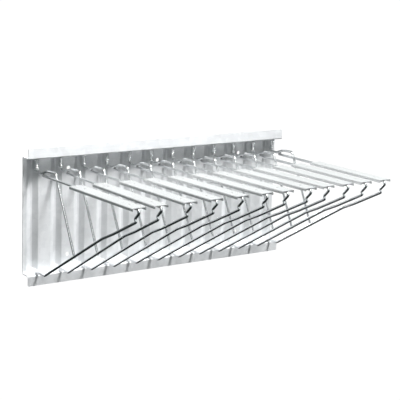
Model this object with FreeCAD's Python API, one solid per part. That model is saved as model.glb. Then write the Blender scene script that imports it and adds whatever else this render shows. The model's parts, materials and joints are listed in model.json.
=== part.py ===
"""Wall rack with a row of swinging wire arms, each carrying a flat hanger rail.

Frame: millimetres, origin at the centre of the six wall-screw holes on the back face of
the panel's flats, +X to the right along the wall, +Y into the wall (the arms point to -Y),
+Z up. The panel's grooves rest on the wall, groove_depth behind the origin.
"""
import FreeCAD, Part
import os
from math import sqrt

V = FreeCAD.Vector
UP = V(0, 0, 1)

# Row of arms
arm_count = 12
arm_pitch = 50.8
arm_rest_angles = (3.0, 1.8, 3.3, 4.0, 4.9, 5.6, 5.0, 5.5, 4.0, 3.5, 2.5, 2.0)
wire_diameter = 5.0
weld_sink = 0.15            # how far welded wires press into each other

# Back panel: one folded sheet, a shallow channel with turned-out flanges
panel_end_margin = 20.6     # outermost pivots to the panel's ends
panel_height = 266.7
flange_height = 20.8        # inner face of a ledge to the flange's free edge
sheet = 1.5
fold_radius = 1.0           # inside radius of the folds
corner_radius = 3.0         # rounded corners of the flanges' free edges
pivot_standoff = 16.8       # back of the flats to the pivot axis
pivot_front_margin = 8.6    # pivot axis to the front of the flanges
pivot_clearance = 0.1       # radial, pin in its ledge hole
pin_tail = 6.0              # how far each pin stands past its ledge

# Wall-screw holes, three columns and two rows
screw_column_bays = 4       # arm bays from one column to the next
screw_row_inset = 26.8      # ledge's inner face to the row's centre line
screw_hole_diameter = 8.0

# Pressed stiffening grooves, one behind each pivot; their floors rest on the wall
groove_width = 24.0         # mouth, at the front face of the flats
groove_floor_width = 4.5
groove_depth = 7.0
groove_fold_radius = 1.5    # inside radius of the groove's long folds
groove_end_margin = 2.5     # ledge to the groove's end
groove_end_slope = 3.5      # length of the end slope

# Hanger rail: a shallow channel, open side down
arm_reach = 341.0           # pivot axis to the rail's front end
rail_length = 200.0
rail_width = 28.0
rail_depth = 5.2
rail_sheet = 1.2
rail_fold_radius = 0.6
rail_drop = 25.2            # top ledge's inner face down to the rail's top
dimple_radius = 6.0         # of the ball that makes the weld dimple
dimple_depth = 0.6
dimple_inset = 30.0         # rail's ends to the dimples

# Frame wire: reaches outward from the pivot axis, insets back from the rail's front end,
# drops below the beam's centre line; a bend's inside radius is that of the wire's surface
beam_end_gap = 0.4          # beam's end to the brace wire above it
nose_overhang = 5.4         # where beam and nose would meet, past the rail's front end
nose_inside_radius = 2.0
nose_heel_inset = 11.5
nose_heel_drop = 17.4
nose_toe_inset = 9.0
nose_toe_drop = 23.4
nose_toe_inside_radius = 0.4
kink_end_inset = 78.5
kink_end_drop = 59.4
kink_start_inset = 111.0
kink_start_drop = 74.4
kink_bend_radius = 18.0
foot_reach = 33.0
foot_bend_radius = 14.0
foot_clearance = 0.2        # bottom ledge to the start of the pin's bend
pin_inside_radius = 1.5

# Brace wire
brace_run_drop = 26.0       # top ledge's inner face down to the level run's centre line
brace_run_reach = 18.0
brace_rise = 7.6            # step up over the end of the beam
brace_rise_reach = 38.0
brace_turn_reach = 62.6
brace_foot_reach = 132.0
brace_inside_radius = 3.5
brace_side_shift = 1.0      # sideways shift at the top of the step
brace_foot_tail = 1.5       # the brace's end past the strut's centre line

# Compression spring on each top pin, and the washer under it
seat_gap = 0.4              # washer to the start of the pin's bend
seat_thickness = 0.9
seat_overhang = 0.5         # washer's rim past the spring
spring_wire = 1.2
spring_clearance = 1.0      # radial, spring round the pin
spring_turns = 5.0
spring_end_gap = 0.05       # each end of the spring to what it bears on
running_clearance = 0.3     # washer's bore round the pin, radial

wire_radius = wire_diameter / 2
panel_width = (arm_count - 1) * arm_pitch + 2 * panel_end_margin
channel_depth = pivot_standoff + pivot_front_margin
ledge_z = panel_height / 2 - flange_height
pin_bend_radius = wire_radius + pin_inside_radius
side_shift = wire_diameter - weld_sink
beam_z = ledge_z - rail_drop - rail_sheet - wire_radius + weld_sink
brace_z = ledge_z - brace_run_drop
foot_z = -ledge_z + pin_bend_radius + foot_clearance
spring_diameter = wire_diameter + 2 * (spring_clearance + spring_wire)
seat_diameter = spring_diameter + 2 * seat_overhang


def pivot_x(index):
    return (index - (arm_count - 1) / 2) * arm_pitch


def arm_point(reach, z, side=0.0):
    """A point of an arm that points straight out, with its pivot axis on the Z axis."""
    return V(side, -reach, z)


def rounded_path(corners):
    """Straight runs between (point, bend radius) corners, joined by tangent arcs."""
    edges = []
    start = corners[0][0]
    for number in range(1, len(corners) - 1):
        corner, radius = corners[number]
        before = (corners[number - 1][0] - corner).normalize()
        after = (corners[number + 1][0] - corner).normalize()
        setback = radius * (before + after).Length / (before - after).Length
        inward = (before + after).normalize()
        centre_distance = sqrt(radius ** 2 + setback ** 2)
        arc_start = corner + before * setback
        arc_end = corner + after * setback
        arc_middle = corner + inward * (centre_distance - radius)
        edges.append(Part.makeLine(start, arc_start))
        edges.append(Part.Arc(arc_start, arc_middle, arc_end).toShape())
        start = arc_end
    edges.append(Part.makeLine(start, corners[-1][0]))
    return Part.Wire(edges)


def bent_wire(corners, diameter):
    """A round wire along the rounded path of its corners."""
    first, second = corners[0][0], corners[1][0]
    section = Part.Wire(Part.makeCircle(diameter / 2, first, second - first))
    return rounded_path(corners).makePipeShell([section], True, False)


def along_x(points_yz, start_x, length):
    """A prism along X from an outline of (y, z) points."""
    points = [V(start_x, y, z) for y, z in points_yz]
    face = Part.Face(Part.makePolygon(points + points[:1]))
    return face.extrude(V(length, 0, 0))


def fillet_edges_at(shape, spots, radius, direction):
    """Round the straight edges that run along direction through the given spots."""
    chosen = []
    for edge in shape.Edges:
        if len(edge.Vertexes) != 2:
            continue
        run = edge.Vertexes[1].Point - edge.Vertexes[0].Point
        if run.Length < 1e-6 or abs(run.normalize().dot(direction)) < 0.999:
            continue
        if any(edge.distToShape(Part.Vertex(spot))[0] < 1e-4 for spot in spots):
            chosen.append(edge)
    return shape.makeFillet(radius, chosen)


def groove_bar(behind, mouth_radius, floor_radius, over):
    """A bar along Z with the groove's cross-section, grown by behind towards the wall.

    The radii are those of the folds, and over is how far the bar reaches past the mouth.
    """
    mouth_y = -sheet + behind
    run = (groove_width - groove_floor_width) / 2
    slant = sqrt(run ** 2 + groove_depth ** 2)
    side = behind * (slant - run) / groove_depth
    mouth_x = groove_width / 2 + side
    floor_x = groove_floor_width / 2 + side
    floor_y = mouth_y + groove_depth
    flat_x = mouth_x + groove_width
    across = [(-flat_x, mouth_y, 0), (-mouth_x, mouth_y, mouth_radius), (-floor_x, floor_y, floor_radius),
              (floor_x, floor_y, floor_radius), (mouth_x, mouth_y, mouth_radius), (flat_x, mouth_y, 0)]
    path = rounded_path([(V(x, y, -ledge_z), radius) for x, y, radius in across])
    curve = path.Edges[1:-1]
    left, right = curve[0].firstVertex().Point, curve[-1].lastVertex().Point
    rim = [right, V(right.x, mouth_y - over, -ledge_z), V(left.x, mouth_y - over, -ledge_z), left]
    closing = [Part.makeLine(*pair) for pair in zip(rim, rim[1:])]
    return Part.Face(Part.Wire(curve + closing)).extrude(V(0, 0, 2 * ledge_z))


def groove_length_cutter(behind, over):
    """What a groove's bar keeps: from one sloping end to the other."""
    mouth_y = -sheet + behind
    half = ledge_z - groove_end_margin - (sheet - behind) / 2
    beyond = 2 * groove_depth
    slope = groove_end_slope * beyond / groove_depth
    front_y = mouth_y - over - sheet
    outline = [(front_y, -half), (mouth_y, -half), (mouth_y + beyond, slope - half),
               (mouth_y + beyond, half - slope), (mouth_y, half), (front_y, half)]
    return along_x(outline, -groove_width, 2 * groove_width)


def stiffening_groove():
    """The swell behind the sheet and the hollow in front of it, centred on X = 0."""
    inner, outer = groove_fold_radius, groove_fold_radius + sheet
    swell = groove_bar(sheet, inner, outer, sheet / 2).common(groove_length_cutter(sheet, sheet / 2))
    hollow = groove_bar(0.0, outer, inner, 2 * sheet).common(groove_length_cutter(0.0, 2 * sheet))
    return swell, hollow


def back_panel():
    """Folded channel with grooves, wall-screw holes and the pivot holes in both ledges."""
    front, back = -channel_depth, -(channel_depth - sheet)
    top = panel_height / 2
    outer_z = ledge_z + sheet
    upper = [(0, outer_z), (back, outer_z), (back, top), (front, top), (front, ledge_z), (-sheet, ledge_z)]
    lower = [(y, -z) for y, z in reversed(upper)]
    panel = along_x(upper + lower, -panel_width / 2, panel_width)
    along = V(1, 0, 0)
    inside = [V(0, y, sign * z) for sign in (1, -1) for y, z in ((-sheet, ledge_z), (back, outer_z))]
    outside = [V(0, y, sign * z) for sign in (1, -1) for y, z in ((0, outer_z), (front, ledge_z))]
    panel = fillet_edges_at(panel, inside, fold_radius, along)
    panel = fillet_edges_at(panel, outside, fold_radius + sheet, along)
    corners = [V(x, back, z) for x in (-panel_width / 2, panel_width / 2) for z in (-top, top)]
    panel = fillet_edges_at(panel, corners, corner_radius, V(0, 1, 0))

    swell, hollow = stiffening_groove()
    places = [V(pivot_x(index), 0, 0) for index in range(arm_count)]
    panel = panel.fuse([swell.translated(place) for place in places])
    cutters = [hollow.translated(place) for place in places]
    for column in (-1, 0, 1):
        for side in (-1, 1):
            row_z = side * (ledge_z - screw_row_inset)
            spot = V(column * screw_column_bays * arm_pitch, -2 * sheet, row_z)
            cutters.append(Part.makeCylinder(screw_hole_diameter / 2, 4 * sheet, spot, V(0, 1, 0)))
    hole_radius = wire_radius + pivot_clearance
    for place in places:
        for z in (ledge_z, -ledge_z):
            spot = place + V(0, -pivot_standoff, z - 2 * sheet)
            cutters.append(Part.makeCylinder(hole_radius, 4 * sheet, spot, UP))
    return panel.cut(cutters)


def strut_z(reach):
    """Height of the strut's centre line below its kink."""
    kink_z = beam_z - kink_start_drop
    share = (reach - foot_reach) / (arm_reach - kink_start_inset - foot_reach)
    return foot_z + share * (kink_z - foot_z)


def beam_start():
    """Reach at which the beam's end is beam_end_gap under the brace wire's sloping step."""
    run = brace_rise_reach - brace_run_reach
    slant = sqrt(run ** 2 + brace_rise ** 2)
    line_z = beam_z + wire_radius + (wire_radius + beam_end_gap) * slant / run
    return brace_run_reach + (line_z - brace_z) * run / brace_rise


def frame_wire():
    """Beam under the rail, nose, strut with its kink, level foot run and bottom pin."""
    toe_radius = wire_radius + nose_toe_inside_radius
    corners = [
        (arm_point(beam_start(), beam_z), 0),
        (arm_point(arm_reach + nose_overhang, beam_z), wire_radius + nose_inside_radius),
        (arm_point(arm_reach - nose_heel_inset, beam_z - nose_heel_drop), toe_radius),
        (arm_point(arm_reach - nose_toe_inset, beam_z - nose_toe_drop), toe_radius),
        (arm_point(arm_reach - kink_end_inset, beam_z - kink_end_drop), kink_bend_radius),
        (arm_point(arm_reach - kink_start_inset, beam_z - kink_start_drop), kink_bend_radius),
        (arm_point(foot_reach, foot_z), foot_bend_radius),
        (arm_point(0, foot_z), pin_bend_radius),
        (arm_point(0, -ledge_z - sheet - pin_tail), 0),
    ]
    return bent_wire(corners, wire_diameter)


def brace_wire():
    """Top pin, level run, step over the beam's end, and the leg down to the strut."""
    turn = arm_point(brace_turn_reach, brace_z + brace_rise, side_shift)
    foot = arm_point(brace_foot_reach, strut_z(brace_foot_reach), side_shift)
    end = foot + (foot - turn).normalize() * brace_foot_tail
    bend_radius = wire_radius + brace_inside_radius
    corners = [
        (arm_point(0, ledge_z + sheet + pin_tail), 0),
        (arm_point(0, brace_z), pin_bend_radius),
        (arm_point(brace_run_reach, brace_z), bend_radius),
        (arm_point(brace_rise_reach, brace_z + brace_rise, brace_side_shift), bend_radius),
        (turn, bend_radius),
        (end, 0),
    ]
    return bent_wire(corners, wire_diameter)


def hanger_rail():
    """Shallow channel on top of the beam, with a weld dimple near each end."""
    top = ledge_z - rail_drop
    half = rail_width / 2
    rear = arm_reach - rail_length
    inner = half - rail_sheet
    outline = [(-half, top), (half, top), (half, top - rail_depth), (inner, top - rail_depth),
               (inner, top - rail_sheet), (-inner, top - rail_sheet), (-inner, top - rail_depth),
               (-half, top - rail_depth)]
    points = [V(x, -arm_reach, z) for x, z in outline]
    rail = Part.Face(Part.makePolygon(points + points[:1])).extrude(V(0, rail_length, 0))
    along = V(0, 1, 0)
    rail = fillet_edges_at(rail, [V(x, -arm_reach, top - rail_sheet) for x in (-inner, inner)],
                           rail_fold_radius, along)
    rail = fillet_edges_at(rail, [V(x, -arm_reach, top) for x in (-half, half)],
                           rail_fold_radius + rail_sheet, along)
    balls = [Part.makeSphere(dimple_radius, V(0, -reach, top + dimple_radius - dimple_depth))
             for reach in (rear + dimple_inset, arm_reach - dimple_inset)]
    return rail.cut(balls)


def spring_seat():
    """Washer above the bend of the brace wire, where the spring bears."""
    base_z = brace_z + pin_bend_radius + seat_gap
    disc = Part.makeCylinder(seat_diameter / 2, seat_thickness, V(0, 0, base_z), UP)
    bore = Part.makeCylinder(wire_radius + running_clearance, seat_thickness, V(0, 0, base_z), UP)
    return disc.cut(bore)


def pivot_spring():
    """Open compression spring between the washer and the top ledge."""
    bottom = brace_z + pin_bend_radius + seat_gap + seat_thickness + spring_end_gap
    length = ledge_z - spring_end_gap - bottom
    rise = length - spring_wire
    radius = (spring_diameter - spring_wire) / 2
    helix = Part.makeHelix(rise / spring_turns, rise, radius)
    section = Part.Wire(Part.makeCircle(spring_wire / 2, V(radius, 0, 0), V(0, 1, 0)))
    coil = Part.Wire(helix).makePipeShell([section], True, True)
    return coil.translated(V(0, 0, bottom + spring_wire / 2))


def on_arm(shape, index):
    """Put a shape made about the Z axis on its pivot, turned to the arm's rest angle."""
    placed = shape.copy()
    placed.rotate(V(0, 0, 0), UP, arm_rest_angles[index])
    placed.translate(V(pivot_x(index), -pivot_standoff, 0))
    return placed


def export(name, shape):
    shape.exportStep("parts/" + name + ".step")


os.makedirs("parts", exist_ok=True)
export("back_panel", back_panel())
arm_pieces = {"frame_wire": frame_wire(), "brace_wire": brace_wire(), "hanger_rail": hanger_rail()}
for name, shape in arm_pieces.items():
    for index in range(arm_count):
        export("%s_%02d" % (name, index + 1), on_arm(shape, index))
for name, shape in (("pivot_springs", pivot_spring()), ("spring_seats", spring_seat())):
    export(name, Part.makeCompound([on_arm(shape, index) for index in range(arm_count)]))
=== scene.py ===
"""Looks of a wall rack with swinging wire arms: finishes, welds, floor, light and camera.

The rack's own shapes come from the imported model. Everything here is in metres, in the same
frame: +X right along the wall, +Y into the wall, +Z up.
"""
import json
import math

import bmesh
import bpy
from mathutils import Matrix, Vector

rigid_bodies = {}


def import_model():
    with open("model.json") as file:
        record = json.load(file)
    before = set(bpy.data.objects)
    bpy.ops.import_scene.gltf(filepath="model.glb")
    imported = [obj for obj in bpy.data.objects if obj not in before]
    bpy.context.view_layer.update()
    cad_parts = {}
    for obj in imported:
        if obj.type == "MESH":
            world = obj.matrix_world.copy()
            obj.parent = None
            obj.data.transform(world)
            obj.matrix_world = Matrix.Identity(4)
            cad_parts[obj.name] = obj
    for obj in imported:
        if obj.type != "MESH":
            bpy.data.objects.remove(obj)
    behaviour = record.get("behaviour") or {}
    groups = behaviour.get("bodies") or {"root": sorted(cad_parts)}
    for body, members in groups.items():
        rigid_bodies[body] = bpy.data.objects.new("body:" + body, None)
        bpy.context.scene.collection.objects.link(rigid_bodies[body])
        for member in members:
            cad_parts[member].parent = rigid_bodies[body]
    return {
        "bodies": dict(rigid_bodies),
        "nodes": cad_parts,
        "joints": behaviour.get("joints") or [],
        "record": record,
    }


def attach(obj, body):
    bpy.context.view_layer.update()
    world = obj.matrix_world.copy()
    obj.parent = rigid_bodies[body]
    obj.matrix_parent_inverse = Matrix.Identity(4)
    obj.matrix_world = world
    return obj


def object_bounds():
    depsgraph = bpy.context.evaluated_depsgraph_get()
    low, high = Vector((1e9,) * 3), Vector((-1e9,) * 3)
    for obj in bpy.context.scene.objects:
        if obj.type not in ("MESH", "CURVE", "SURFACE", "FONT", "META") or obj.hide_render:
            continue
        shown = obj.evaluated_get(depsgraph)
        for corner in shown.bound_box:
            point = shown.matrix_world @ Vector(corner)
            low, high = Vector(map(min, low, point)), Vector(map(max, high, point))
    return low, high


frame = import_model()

cad_low, cad_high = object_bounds()
nodes = frame["nodes"]
arms = sorted(name for name in frame["bodies"] if name.startswith("arm_"))
pivots = {j["child"]: Vector(j["pos_m"]) for j in frame["joints"]}


# ---------------------------------------------------------------- shader maths

class Value:
    """A shader socket that takes part in Python arithmetic."""

    def __init__(self, tree, socket):
        self.tree, self.socket = tree, socket

    def maths(self, operation, *others, clamp=False):
        tree = self.tree
        return tree.node("ShaderNodeMath", {"operation": operation, "use_clamp": clamp},
                         {i: v for i, v in enumerate((self, *others))})

    def __add__(self, other):
        return self.maths("ADD", other)

    __radd__ = __add__

    def __sub__(self, other):
        return self.maths("SUBTRACT", other)

    def __rsub__(self, other):
        return self.tree.number(other).maths("SUBTRACT", self)

    def __mul__(self, other):
        return self.maths("MULTIPLY", other)

    __rmul__ = __mul__

    def clamped(self):
        return self.maths("ADD", 0.0, clamp=True)


class Finish:
    """A material or world being built: makes its nodes and feeds the shader they end in."""

    def __init__(self, owner, shader="BSDF_PRINCIPLED"):
        self.owner = owner
        owner.use_nodes = True
        self.nodes, self.links = owner.node_tree.nodes, owner.node_tree.links
        self.shader = next(n for n in self.nodes if n.type == shader)

    def node(self, kind, settings=None, inputs=None, output=0):
        """Make any node: settings first, then the values or links of its sockets."""
        made = self.nodes.new(kind)
        for key, value in (settings or {}).items():
            if key == "stops":
                ramp = made.color_ramp.elements
                while len(ramp) < len(value):
                    ramp.new(0.5)
                for stop, (place, colour) in zip(ramp, value):
                    stop.position, stop.color = place, colour
            else:
                setattr(made, key, value)
        for key, value in (inputs or {}).items():
            if isinstance(value, Value):
                self.links.new(value.socket, made.inputs[key])
            else:
                made.inputs[key].default_value = value
        return Value(self, made.outputs[output])

    def number(self, amount):
        return self.node("ShaderNodeMath", {"operation": "ADD"}, {0: amount, 1: 0.0})

    def place(self):
        return self.node("ShaderNodeTexCoord", output="Object")

    def stretched(self, scale):
        return self.node("ShaderNodeMapping", {}, {"Vector": self.place(), "Scale": scale})

    def noise(self, vector, scale, detail=2.0, roughness=0.5):
        return self.node("ShaderNodeTexNoise", {}, {
            "Vector": vector, "Scale": scale, "Detail": detail, "Roughness": roughness}, "Fac")

    def blend_colours(self, share, first, second):
        return self.node("ShaderNodeMix", {"data_type": "RGBA"},
                         {0: share, 6: first, 7: second}, 2)

    def bump(self, height, distance, strength):
        return self.node("ShaderNodeBump", {}, {
            "Height": height, "Distance": distance, "Strength": strength})

    def feed(self, **sockets):
        for name, value in sockets.items():
            socket = self.shader.inputs[name.replace("_", " ")]
            if isinstance(value, Value):
                self.links.new(value.socket, socket)
            else:
                socket.default_value = value
        return self.owner


def grey(level, tint=0.0):
    """A neutral colour, cooler when tint is above 0."""
    return (level * (1 - tint), level, level * (1 + tint), 1.0)


def zinc_sheet():
    """Satin plated sheet: faint crystal patches, rolling streaks and small blotches."""
    f = Finish(bpy.data.materials.new("zinc_sheet"))
    patches = f.node("ShaderNodeTexVoronoi", {}, {"Vector": f.place(), "Scale": 90.0}, "Color")
    patch = f.node("ShaderNodeSeparateColor", {}, {0: patches})
    streaks = f.noise(f.stretched((4.0, 4.0, 260.0)), 1.0, 3.0)
    clouds = f.noise(f.place(), 9.0, 4.0, 0.6)
    share = (patch * 0.35 + streaks * 0.35 + clouds * 0.5 - 0.1).clamped()
    colour = f.blend_colours(share, grey(0.66, 0.022), grey(0.84, 0.012))
    relief = f.bump(f.noise(f.place(), 1400.0, 2.0), 0.0002, 0.12)
    return f.feed(Base_Color=colour, Metallic=0.28, Normal=relief,
                  Roughness=streaks * 0.12 + patch * 0.08 + 0.34)


def plated_wire():
    """Bright plating on drawn wire: fine die lines, slight ripple and dull specks."""
    f = Finish(bpy.data.materials.new("plated_wire"))
    ripple = f.noise(f.place(), 60.0, 3.0)
    specks = f.noise(f.place(), 900.0, 2.0, 0.7)
    share = (ripple * 0.7 + specks * 0.5 - 0.1).clamped()
    colour = f.blend_colours(share, grey(0.70, 0.012), grey(0.92, 0.01))
    relief = f.bump(specks, 0.0001, 0.10)
    return f.feed(Base_Color=colour, Metallic=1.0, Normal=relief, Roughness=ripple * 0.08 + 0.12)


def rail_strip():
    """Satin strip with fine lengthwise rolling lines and rubbed patches."""
    f = Finish(bpy.data.materials.new("rail_strip"))
    lines = f.noise(f.stretched((900.0, 8.0, 60.0)), 1.0, 3.0)
    rubs = f.noise(f.place(), 30.0, 4.0, 0.6)
    share = (lines * 0.5 + rubs * 0.6 - 0.05).clamped()
    colour = f.blend_colours(share, grey(0.86, 0.002), grey(0.96, 0.0))
    relief = f.bump(lines, 0.0001, 0.05)
    return f.feed(Base_Color=colour, Metallic=0.85, Normal=relief,
                  Roughness=lines * 0.06 + rubs * 0.05 + 0.20)


def small_steel(name, level, roughness):
    """Finish of the small turned and coiled pieces."""
    f = Finish(bpy.data.materials.new(name))
    grain = f.noise(f.place(), 1500.0, 3.0, 0.6)
    colour = f.blend_colours(grain, grey(level * 0.8, 0.01), grey(level, 0.01))
    return f.feed(Base_Color=colour, Metallic=1.0, Normal=f.bump(grain, 0.0001, 0.2),
                  Roughness=grain * 0.12 + roughness)


def weld_metal():
    """Plated-over weld: duller and rougher than the wire round it."""
    f = Finish(bpy.data.materials.new("weld_metal"))
    lumps = f.noise(f.place(), 700.0, 4.0, 0.65)
    colour = f.blend_colours(lumps, grey(0.30, 0.01), grey(0.55, 0.01))
    return f.feed(Base_Color=colour, Metallic=1.0, Normal=f.bump(lumps, 0.0004, 0.5),
                  Roughness=lumps * 0.2 + 0.3)


finishes = {
    "panel_sheet": zinc_sheet(),
    "bright_wire": plated_wire(),
    "rail_strip": rail_strip(),
    "spring_steel": small_steel("spring_steel", 0.80, 0.14),
    "washer_steel": small_steel("washer_steel", 0.62, 0.28),
}
slot_of = {row["node"]: row["material_slot"] for row in frame["record"]["subparts"]}
for name, piece in nodes.items():
    piece.data.materials.clear()
    piece.data.materials.append(finishes[slot_of[name]])


# ---------------------------------------------------------------- welds

WIRE = 0.005                 # wire diameter
RAIL_SHEET = 0.0012
BEAM_END_REACH = 0.0275      # pivot axis to the bead at the beam's end
LEG_REACH = 0.0685           # where the brace's leg passes the beam
LEG_FOOT_REACH = 0.132       # where the leg meets the strut
LEG_FOOT_DROP = 0.1365       # rail's top down to that place
STEP_RISE = 0.38             # slopes, rise over reach, of the wires that the beads follow
LEG_RISE = -2.06
STRUT_RISE = 0.60
BEAM_END_BEAD = (0.0085, 0.0038)   # length and width of each bead
LEG_SIDE_BEAD = (0.0075, 0.0030)
LEG_FOOT_BEAD = (0.0085, 0.0032)


def weld_beads(name, body, beads):
    """Lumpy beads where the wires of one arm are joined, as one piece."""
    mesh = bmesh.new()
    for place, along, length, width in beads:
        turn = along.to_track_quat("Z", "Y").to_matrix()
        for vert in bmesh.ops.create_icosphere(mesh, subdivisions=4, radius=0.5)["verts"]:
            x, y, z = vert.co
            ripple = 0.07 * math.sin(22 * z) + 0.06 * math.sin(14 * z + 4 * x) * math.cos(10 * y)
            vert.co = place + turn @ Vector((x * width, y * width, z * length)) * (1 + ripple)
    data = bpy.data.meshes.new(name)
    mesh.to_mesh(data)
    mesh.free()
    data.shade_smooth()
    data.materials.append(weld)
    piece = bpy.data.objects.new(name, data)
    bpy.context.scene.collection.objects.link(piece)
    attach(piece, body)


def arm_welds(arm):
    """Beads at the beam's end, where the brace's leg passes the beam, and at the leg's foot."""
    rail = rails["rail_" + arm[-2:]]
    outward, up = Vector(rail["axis"]), Vector((0, 0, 1))
    across = up.cross(outward)
    rail_top = rail["pos_m"][2]
    beam_z = rail_top - RAIL_SHEET - WIRE / 2

    def spot(reach, side, height):
        return pivots[arm] + outward * reach + across * side + up * height

    beam_end = spot(BEAM_END_REACH, 0.0, beam_z + 0.55 * WIRE)
    leg_side = spot(LEG_REACH, WIRE / 2, beam_z)
    leg_foot = spot(LEG_FOOT_REACH, WIRE / 2, rail_top - LEG_FOOT_DROP)
    weld_beads("arm_weld_" + arm[-2:], arm, [
        (beam_end, outward + up * STEP_RISE, *BEAM_END_BEAD),
        (leg_side, outward + up * LEG_RISE, *LEG_SIDE_BEAD),
        (leg_foot, outward + up * STRUT_RISE, *LEG_FOOT_BEAD),
    ])


weld = weld_metal()
rails = {m["name"]: m for m in frame["record"]["mounts"] if m["kind"] == "slide"}
for arm in arms:
    arm_welds(arm)


# ---------------------------------------------------------------- floor, light, camera

FLOOR_HALF_SIZE, FLOOR_DROP = 60.0, 0.75            # drop: below the panel's lowest edge
FLOOR_MIDDLE_Y = -0.2
# painted shade: in reflections and fill light the floor's glow is darkest under the rack, as a
# painted shadow
DARK_FLOOR_RADIUS, LIT_FLOOR_RADIUS = 0.5, 7.0      # the glow grows from one to the other
FLOOR_RED_SHARE = 0.88                              # its slightly cool colour
FLOOR_WHITE = 1.05                                  # as looked at directly

RIGHT_LEAN, BACK_LEAN = 0.15, -0.12   # how the room's bright part rises and falls round it
WALL_FOOT, WALL_HEAD = 0.03, 0.24     # heights on a unit sphere where the walls brighten
CEILING_EDGE, CEILING_TOP = 0.26, 0.85   # and where they fade to the ceiling's glow
CEILING_GLOW = 0.30
ROOM_COLOUR = (0.955, 1.0, 1.0, 1.0)
RACK_MIDDLE = (0.0, -0.12, 0.0)       # what the softboxes are aimed at
GLEAM, AMBIENT = 1.0, 0.04            # the room's strength in reflections and as fill light

EYE_PLACE = (-1.2703, -1.9765, 0.530)
EYE_YAW, EYE_PITCH, EYE_ROLL = 34.92, 12.59, 2.13   # degrees: right of +Y, down, own axis
FOCAL_LENGTH, SENSOR_WIDTH = 106.2, 36.0            # mm


def stage_floor():
    """Large plain floor far below the rack: white to look at; in the metal's reflections and
    fill light it glows, with a painted shade darkest right under the rack.
    """
    f = Finish(bpy.data.materials.new("pale_floor"))
    distance = f.node("ShaderNodeVectorMath", {"operation": "LENGTH"}, {0: f.place()}, "Value")
    # painted shade: the glow rises from nearly black under the rack to dim grey far off, for
    # every ray but the camera's
    glow = f.node("ShaderNodeMapRange", {"interpolation_type": "SMOOTHSTEP"}, {
        "Value": distance,
        "From Min": DARK_FLOOR_RADIUS, "From Max": LIT_FLOOR_RADIUS,
        "To Min": 0.02, "To Max": 0.24})
    seen = f.node("ShaderNodeLightPath", output="Is Camera Ray")
    dim = f.node("ShaderNodeCombineColor", {}, {0: glow * FLOOR_RED_SHARE, 1: glow, 2: glow})
    colour = f.blend_colours(seen, dim, grey(FLOOR_WHITE))
    f.feed(Base_Color=grey(0.0), Roughness=1.0, Specular_IOR_Level=0.0,
           Emission_Strength=1.0, Emission_Color=colour)
    mesh = bpy.data.meshes.new("floor")
    half = FLOOR_HALF_SIZE
    corners = [(-half, -half, 0), (half, -half, 0), (half, half, 0), (-half, half, 0)]
    mesh.from_pydata(corners, [], [(0, 1, 2, 3)])
    floor = bpy.data.objects.new("floor", mesh)
    floor.location = (0, FLOOR_MIDDLE_Y, cad_low.z - FLOOR_DROP)
    mesh.materials.append(f.owner)
    bpy.context.scene.collection.objects.link(floor)


def softbox(name, place, size, power):
    """A rectangular light aimed at the rack's middle, which no view sees directly."""
    light = bpy.data.lights.new(name, "AREA")
    light.shape = "RECTANGLE"
    light.size, light.size_y = size
    light.energy = power
    lamp = bpy.data.objects.new(name, light)
    lamp.location = place
    lamp.visible_camera = False
    aim = Vector(RACK_MIDDLE) - Vector(place)
    lamp.rotation_euler = aim.to_track_quat("-Z", "Y").to_euler()
    bpy.context.scene.collection.objects.link(lamp)


def studio_light():
    """A dim room with bright walls above the horizon, brighter in reflections, and softboxes."""
    world = bpy.data.worlds.new("studio")
    room = Finish(world, "BACKGROUND")
    direction = room.node("ShaderNodeTexCoord", output="Generated")
    x, y, z = (room.node("ShaderNodeSeparateXYZ", {}, {0: direction}, axis) for axis in "XYZ")
    walls = room.node("ShaderNodeMapRange", {"interpolation_type": "SMOOTHSTEP"}, {
        "Value": x * RIGHT_LEAN + y * BACK_LEAN + z,
        "From Min": WALL_FOOT, "From Max": WALL_HEAD, "To Min": 0.03, "To Max": 1.0})
    fill = room.node("ShaderNodeLightPath", output="Is Diffuse Ray")
    seen = room.node("ShaderNodeLightPath", output="Is Camera Ray")
    ceiling = room.node("ShaderNodeMapRange", {"interpolation_type": "SMOOTHSTEP"}, {
        "Value": z, "From Min": CEILING_EDGE, "From Max": CEILING_TOP,
        "To Min": 1.0, "To Max": CEILING_GLOW})
    strength = walls * ceiling * (fill * (AMBIENT - GLEAM) + GLEAM)
    tint = room.blend_colours(seen, ROOM_COLOUR, grey(1.0))
    room.feed(Color=tint, Strength=seen + strength * (1 - seen))
    bpy.context.scene.world = world
    softbox("key_softbox", (1.35, -2.25, 4.40), (1.1, 1.1), 560)
    softbox("left_softbox", (-1.9, -2.3, 2.4), (1.2, 0.9), 26)
    softbox("front_softbox", (0.5, -3.2, 0.10), (1.6, 0.5), 7)
    softbox("back_softbox", (0.6, 3.0, 0.25), (1.6, 0.8), 60)


def camera():
    """Looks at the rack from the left, a little above, turned about its own axis by roll."""
    lens = bpy.data.cameras.new("camera")
    lens.sensor_width = SENSOR_WIDTH
    lens.lens = FOCAL_LENGTH
    lens.dof.use_dof = False
    lens.clip_start, lens.clip_end = 0.05, 200.0
    eye = bpy.data.objects.new("camera", lens)
    yaw, pitch, roll = (math.radians(angle) for angle in (EYE_YAW, EYE_PITCH, EYE_ROLL))
    turn = (Matrix.Rotation(-yaw, 4, "Z") @ Matrix.Rotation(math.pi / 2 - pitch, 4, "X")
            @ Matrix.Rotation(roll, 4, "Z"))
    eye.matrix_world = Matrix.Translation(EYE_PLACE) @ turn
    bpy.context.scene.collection.objects.link(eye)
    bpy.context.scene.camera = eye


stage_floor()
studio_light()
camera()
bpy.context.scene.view_settings.view_transform = "Standard"
